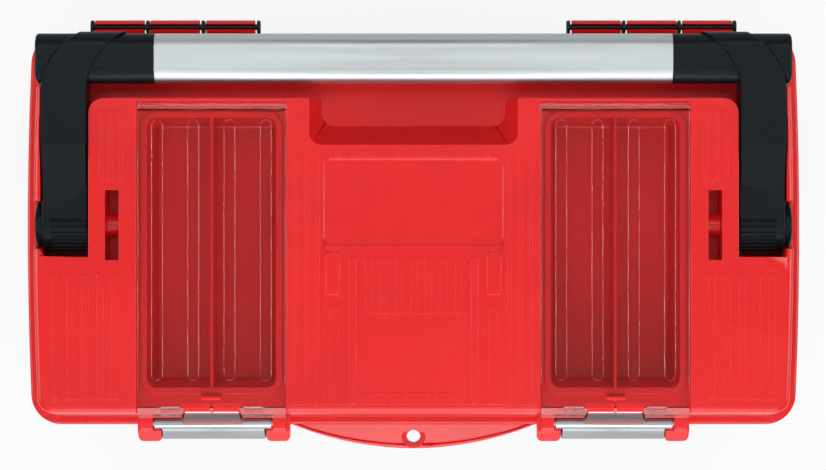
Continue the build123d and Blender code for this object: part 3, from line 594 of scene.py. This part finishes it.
@dataclass
class Dressing:
    """What every sub-assembly needs to dress its nodes."""

    frame: dict
    finishes: Finishes

    def dress(self, node: str, material: bpy.types.Material) -> None:
        """Gives a CAD node its material.

        Args:
            node: the node's name.
            material: the material of all its faces.
        """
        mesh = self.frame["nodes"][node].data
        mesh.materials.clear()
        mesh.materials.append(material)
        LOG.info("%s is dressed in %s", node, material.name)

    def slot_of(self, node: str) -> str:
        """The record's material slot of a CAD node.

        Args:
            node: the node's name.

        Returns:
            The slot's name.
        """
        subparts = self.frame["record"]["subparts"]
        return next(part["material_slot"] for part in subparts if part["node"] == node)

    def softened(
        self, node: str, material: bpy.types.Material, width: float, merge: Merge = Merge.QUADS
    ) -> bpy.types.Object:
        """Copies a CAD node, rounds the copy's sharp edges and lets it stand for the node.

        Args:
            node: the node's name.
            material: the material of the copy.
            width: the rounding's width in metres.
            merge: how the triangles are merged.

        Returns:
            The rounded copy.
        """
        source = self.frame["nodes"][node]
        mesh = source.data.copy()
        piece = bpy.data.objects.new(f"{node}_rounded", mesh)
        bpy.context.scene.collection.objects.link(piece)
        activate(piece)
        merge_triangles(merge)
        weigh_sharp_edges(mesh, width)
        round_edges(piece, width)
        mesh.materials.clear()
        mesh.materials.append(material)
        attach(piece, source["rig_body"])
        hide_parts(node)
        LOG.info("%s: %d faces", piece.name, len(mesh.polygons))
        return piece


def merge_triangles(merge: Merge) -> None:
    """Merges the active object's doubled points and flat triangles.

    Args:
        merge: how the triangles are merged.
    """
    bpy.ops.object.mode_set(mode="EDIT")
    bpy.ops.mesh.select_all(action="SELECT")
    bpy.ops.mesh.remove_doubles(threshold=MERGE_DISTANCE)
    if merge is Merge.FACES:
        bpy.ops.mesh.dissolve_limited(angle_limit=FLAT_ANGLE)
    else:
        bpy.ops.mesh.tris_convert_to_quads(face_threshold=FLAT_ANGLE, shape_threshold=math.pi)
    bpy.ops.object.mode_set(mode="OBJECT")


def round_edges(piece: bpy.types.Object, width: float) -> None:
    """Rounds the weighted edges and keeps the shading of flat faces flat.

    Args:
        piece: the active object.
        width: the rounding's width in metres.
    """
    bevel = piece.modifiers.new("soft_edges", "BEVEL")
    bevel.width = width
    bevel.segments = ROUND_SEGMENTS
    bevel.limit_method = "WEIGHT"
    bevel.use_clamp_overlap = False
    bpy.ops.object.modifier_apply(modifier=bevel.name)
    bpy.ops.object.shade_smooth_by_angle(angle=SHARP_ANGLE)
    flatten = piece.modifiers.new("flat_faces", "WEIGHTED_NORMAL")
    flatten.weight = FLAT_WEIGHT
    flatten.thresh = EQUAL_AREA
    flatten.keep_sharp = True
    bpy.ops.object.modifier_apply(modifier=flatten.name)


def weigh_sharp_edges(mesh: bpy.types.Mesh, width: float) -> None:
    """Gives a bevel weight to the sharp edges that have room for a rounding.

    Args:
        mesh: a merged mesh.
        width: the rounding's width in metres.
    """
    work = bmesh.new()
    work.from_mesh(mesh)
    weights = work.edges.layers.float.new("bevel_weight_edge")
    for edge in work.edges:
        if len(edge.link_faces) == 2 and edge.calc_face_angle(0.0) > SHARP_ANGLE:
            edge[weights] = float(has_room(edge, width))
    work.to_mesh(mesh)
    work.free()


def has_room(edge: bmesh.types.BMEdge, width: float) -> bool:
    """Whether the faces and the crossing edges of an edge are long enough for a rounding.

    Args:
        edge: the sharp edge.
        width: the rounding's width in metres.

    Returns:
        True where no face and no crossing edge is shorter than the rounding needs.
    """
    start = edge.verts[0].co
    along = (edge.verts[1].co - start).normalized()
    for end in edge.verts:
        for other in end.link_edges:
            span = other.other_vert(end).co - end.co
            crossing = abs(along.dot(span.normalized())) < CROSSING_COSINE
            if crossing and span.length < CROSSING_ROOM * width:
                return False
    for face in edge.link_faces:
        reach = max((corner.co - start).cross(along).length for corner in face.verts)
        if reach < FACE_ROOM * width:
            return False
    return True


def deselect_all() -> None:
    """Deselects every object."""
    for thing in bpy.context.view_layer.objects:
        thing.select_set(False)


def activate(piece: bpy.types.Object) -> None:
    """Selects one object alone and makes it active.

    Args:
        piece: the object.
    """
    deselect_all()
    piece.select_set(True)
    bpy.context.view_layer.objects.active = piece


@dataclass
class Lid(Dressing):
    """The red lid with its latch pins."""

    edge: float = 0.35 * MM

    def build(self) -> None:
        """Dresses the lid's nodes."""
        self.softened("lid_shell", self.finishes.red, self.edge)
        for side in ("left", "right"):
            self.dress(f"latch_pin_{side}", self.finishes.steel)


@dataclass
class OrganizerCovers(Dressing):
    """The two clear covers with the fine ribs on their sloped front bands."""

    middle_x: float = 116.0 * MM
    band_y: float = -99.5 * MM
    band_z: float = 222.0 * MM
    band_slope: float = math.radians(45.0)
    rib_width: float = 0.55 * MM
    rib_length: float = 5.6 * MM
    rib_depth: float = 0.7 * MM
    rib_proud: float = 0.3 * MM
    rib_round: float = 0.1375 * MM
    rib_start: float = 1.4 * MM
    rib_pitch: float = 1.15 * MM
    first_rib: float = 18.6 * MM
    rib_count: int = 10

    def build(self) -> None:
        """Dresses the covers."""
        for side, name in ((-1, "left"), (1, "right")):
            self.dress(f"organizer_cover_{name}", self.finishes.clear)
            self.build_ribs(side, name)

    def build_ribs(self, side: int, name: str) -> None:
        """Adds the ribs on both ends of one cover's front band.

        Args:
            side: -1 for the left cover and 1 for the right.
            name: the side's name.
        """
        first = self.build_rib()
        copies = []
        for end in (-1, 1):
            for count in range(self.rib_count):
                place = side * self.middle_x + end * (self.first_rib + count * self.rib_pitch)
                copy = bpy.data.objects.new(f"band_rib_{name}", first.data.copy())
                copy.data.transform(Matrix.Translation((place, 0.0, 0.0)))
                bpy.context.scene.collection.objects.link(copy)
                copies.append(copy)
        bpy.data.objects.remove(first)
        activate(copies[0])
        for copy in copies[1:]:
            copy.select_set(True)
        bpy.ops.object.join()
        ribs = bpy.context.object
        ribs.name = f"cover_band_ribs_{name}"
        ribs.data.materials.append(self.finishes.clear)
        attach(ribs, f"cover_{name}")
        self.slot_of(f"organizer_cover_{name}")
        LOG.info("%s: %d ribs", ribs.name, len(copies))

    def build_rib(self) -> bpy.types.Object:
        """Shapes one rib on the slope, in the plane X = 0.

        Returns:
            The rib.
        """
        deselect_all()
        bpy.ops.mesh.primitive_cube_add(size=1.0)
        rib = bpy.context.object
        bpy.ops.object.mode_set(mode="EDIT")
        bpy.ops.mesh.select_all(action="SELECT")
        bpy.ops.transform.resize(
            value=(self.rib_width, self.rib_length, self.rib_depth), center_override=(0, 0, 0)
        )
        bpy.ops.mesh.bevel(offset=self.rib_round, segments=ROUND_SEGMENTS, affect="EDGES")
        bpy.ops.transform.translate(
            value=(0, -self.rib_start - self.rib_length / 2, self.rib_proud - self.rib_depth / 2)
        )
        bpy.ops.mesh.select_all(action="SELECT")
        bpy.ops.object.mode_set(mode="OBJECT")
        turn = Matrix.Rotation(self.band_slope, 4, "X")
        rib.data.transform(Matrix.Translation((0, self.band_y, self.band_z)) @ turn)
        bpy.ops.object.shade_smooth_by_angle(angle=SHARP_ANGLE)
        return rib


@dataclass
class Handle(Dressing):
    """The folding handle: grip, arms, pivots and screws."""

    grip_edge: float = 0.4 * MM
    arm_edge: float = 0.6 * MM
    cap_edge: float = 0.4 * MM

    def build(self) -> None:
        """Dresses the handle's nodes."""
        self.softened("grip_tube", self.finishes.grip, self.grip_edge)
        self.dress("grip_screws", self.finishes.steel)
        for side in ("left", "right"):
            self.softened(f"handle_arm_{side}", self.finishes.handle, self.arm_edge)
            self.softened(f"handle_pivot_{side}", self.finishes.handle, self.cap_edge, Merge.FACES)


@dataclass
class Latches(Dressing):
    """The two metal latches."""

    edge: float = 0.3 * MM

    def build(self) -> None:
        """Dresses the latches."""
        for side in ("left", "right"):
            self.softened(f"latch_plate_{side}", self.finishes.latch, self.edge)


@dataclass
class Base(Dressing):
    """The black tub with its hinge rods and tote tray."""

    tub_edge: float = 0.5 * MM
    tray_edge: float = 0.4 * MM
    rod_edge: float = 0.3 * MM

    def build(self) -> None:
        """Dresses the base's nodes."""
        black = self.finishes.black
        self.softened("tub", black, self.tub_edge)
        self.softened("tote_tray", black, self.tray_edge)
        for side in ("left", "right"):
            self.softened(f"hinge_rod_{side}", black, self.rod_edge, Merge.FACES)


@dataclass
class Softbox:
    """One area lamp, aimed at a point."""

    name: str
    place: Vector3
    target: Vector3
    width: float
    height: float
    power: float

    def build(self) -> None:
        """Adds the lamp."""
        data = bpy.data.lights.new(self.name, "AREA")
        data.shape = "RECTANGLE"
        data.size = self.width
        data.size_y = self.height
        data.energy = self.power
        lamp = bpy.data.objects.new(self.name, data)
        lamp.location = self.place
        lamp.rotation_euler = self.rotation()
        lamp.visible_camera = False
        bpy.context.scene.collection.objects.link(lamp)

    def rotation(self) -> Vector3:
        """The turn that points the lamp's -Z from its place to its target.

        Returns:
            Euler angles.
        """
        x, y, z = (b - a for a, b in zip(self.place, self.target))
        return (math.atan2(math.hypot(x, y), -z), 0.0, math.atan2(-x, y))


@dataclass
class Studio:
    """The pale floor, the soft light and the camera straight overhead."""

    camera_height: float = 2.0
    camera_offset: Pair = (-0.3 * MM, -0.3 * MM)
    lens: float = 135.0
    ambient: float = 0.12
    floor_size: float = 6.0
    floor_drop: float = 0.2 * MM
    floor_colour: Vector3 = (0.9, 0.9, 0.9)
    floor_roughness: float = 0.8
    floor_white: float = 0.85
    floor_fade: Pair = (0.6, 2.4)
    boxes: tuple[Softbox, ...] = (
        Softbox("front_low", (0.0, -1.6, 0.72), (0.0, -0.1, 0.15), 1.2, 0.6, 11.0),
        Softbox("front_edge", (0.0, -1.6, 0.18), (0.0, -0.1, 0.18), 1.2, 0.3, 1.8),
        Softbox("front_mid", (0.0, -1.25, 1.11), (0.0, -0.12, 0.16), 0.55, 0.45, 4.7),
        Softbox("rear_low", (0.0, 1.6, 0.5), (0.0, 0.0, 0.15), 2.4, 0.5, 4.0),
        Softbox("left_low", (-1.6, 0.0, 0.95), (0.0, 0.0, 0.2), 0.35, 0.9, 9.0),
        Softbox("right_low", (1.6, 0.0, 0.95), (0.0, 0.0, 0.2), 0.35, 0.9, 9.0),
        Softbox("front_high", (0.0, -0.6, 1.75), (0.0, 0.0, 0.2), 1.7, 0.7, 6.5),
        Softbox("rear_high", (0.0, 0.6, 1.75), (0.0, 0.1, 0.2), 1.7, 0.7, 8.5),
    )

    def build(self) -> None:
        """Adds the floor, the light and the camera."""
        self.build_floor()
        self.build_world()
        for box in self.boxes:
            box.build()
        self.build_camera()

    def build_floor(self) -> None:
        """Adds the pale floor, which the camera sees as nearly white."""
        deselect_all()
        below = (0, 0, -self.floor_drop)
        bpy.ops.mesh.primitive_plane_add(size=self.floor_size, location=below)
        floor = bpy.context.object
        floor.name = "floor"
        material, build, shader = new_material("pale_floor")
        shader.inputs["Base Color"].default_value = (*self.floor_colour, 1.0)
        shader.inputs["Roughness"].default_value = self.floor_roughness
        away = build.node("ShaderNodeVectorMath", operation="LENGTH")
        build.link(build.place(), away.inputs[0])
        white = build.remap(away.outputs["Value"], self.floor_fade, self.floor_white, 1.0)
        path = build.node("ShaderNodeLightPath")
        seen = build.math("MULTIPLY", path.outputs["Is Camera Ray"], white)
        build.finish(seen, shader, build.node("ShaderNodeEmission"))
        floor.data.materials.append(material)

    def build_world(self) -> None:
        """Makes the world a plain soft light that the camera sees as white."""
        world = bpy.data.worlds.new("studio")
        bpy.context.scene.world = world
        world.use_nodes = True
        build = NodeTree(world.node_tree)
        back = world.node_tree.nodes["Background"]
        back.inputs["Color"].default_value = (1.0, 1.0, 1.0, 1.0)
        path = build.node("ShaderNodeLightPath")
        strength = build.remap(path.outputs["Is Camera Ray"], UNIT_SPAN, self.ambient, 1.0)
        build.link(strength, back.inputs["Strength"])

    def build_camera(self) -> None:
        """Adds the camera above the box, looking straight down."""
        data = bpy.data.cameras.new("camera")
        data.lens = self.lens
        camera = bpy.data.objects.new("camera", data)
        camera.location = (*self.camera_offset, self.camera_height)
        bpy.context.scene.collection.objects.link(camera)
        bpy.context.scene.camera = camera


def main() -> None:
    logging.basicConfig(level=logging.INFO, format="%(name)s: %(message)s")
    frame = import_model()
    finishes = Finishes()
    for assembly in (Lid, OrganizerCovers, Handle, Latches, Base):
        assembly(frame, finishes).build()
    Studio().build()
    bpy.context.scene.view_settings.view_transform = "Standard"


if __name__ == "__main__":
    main()
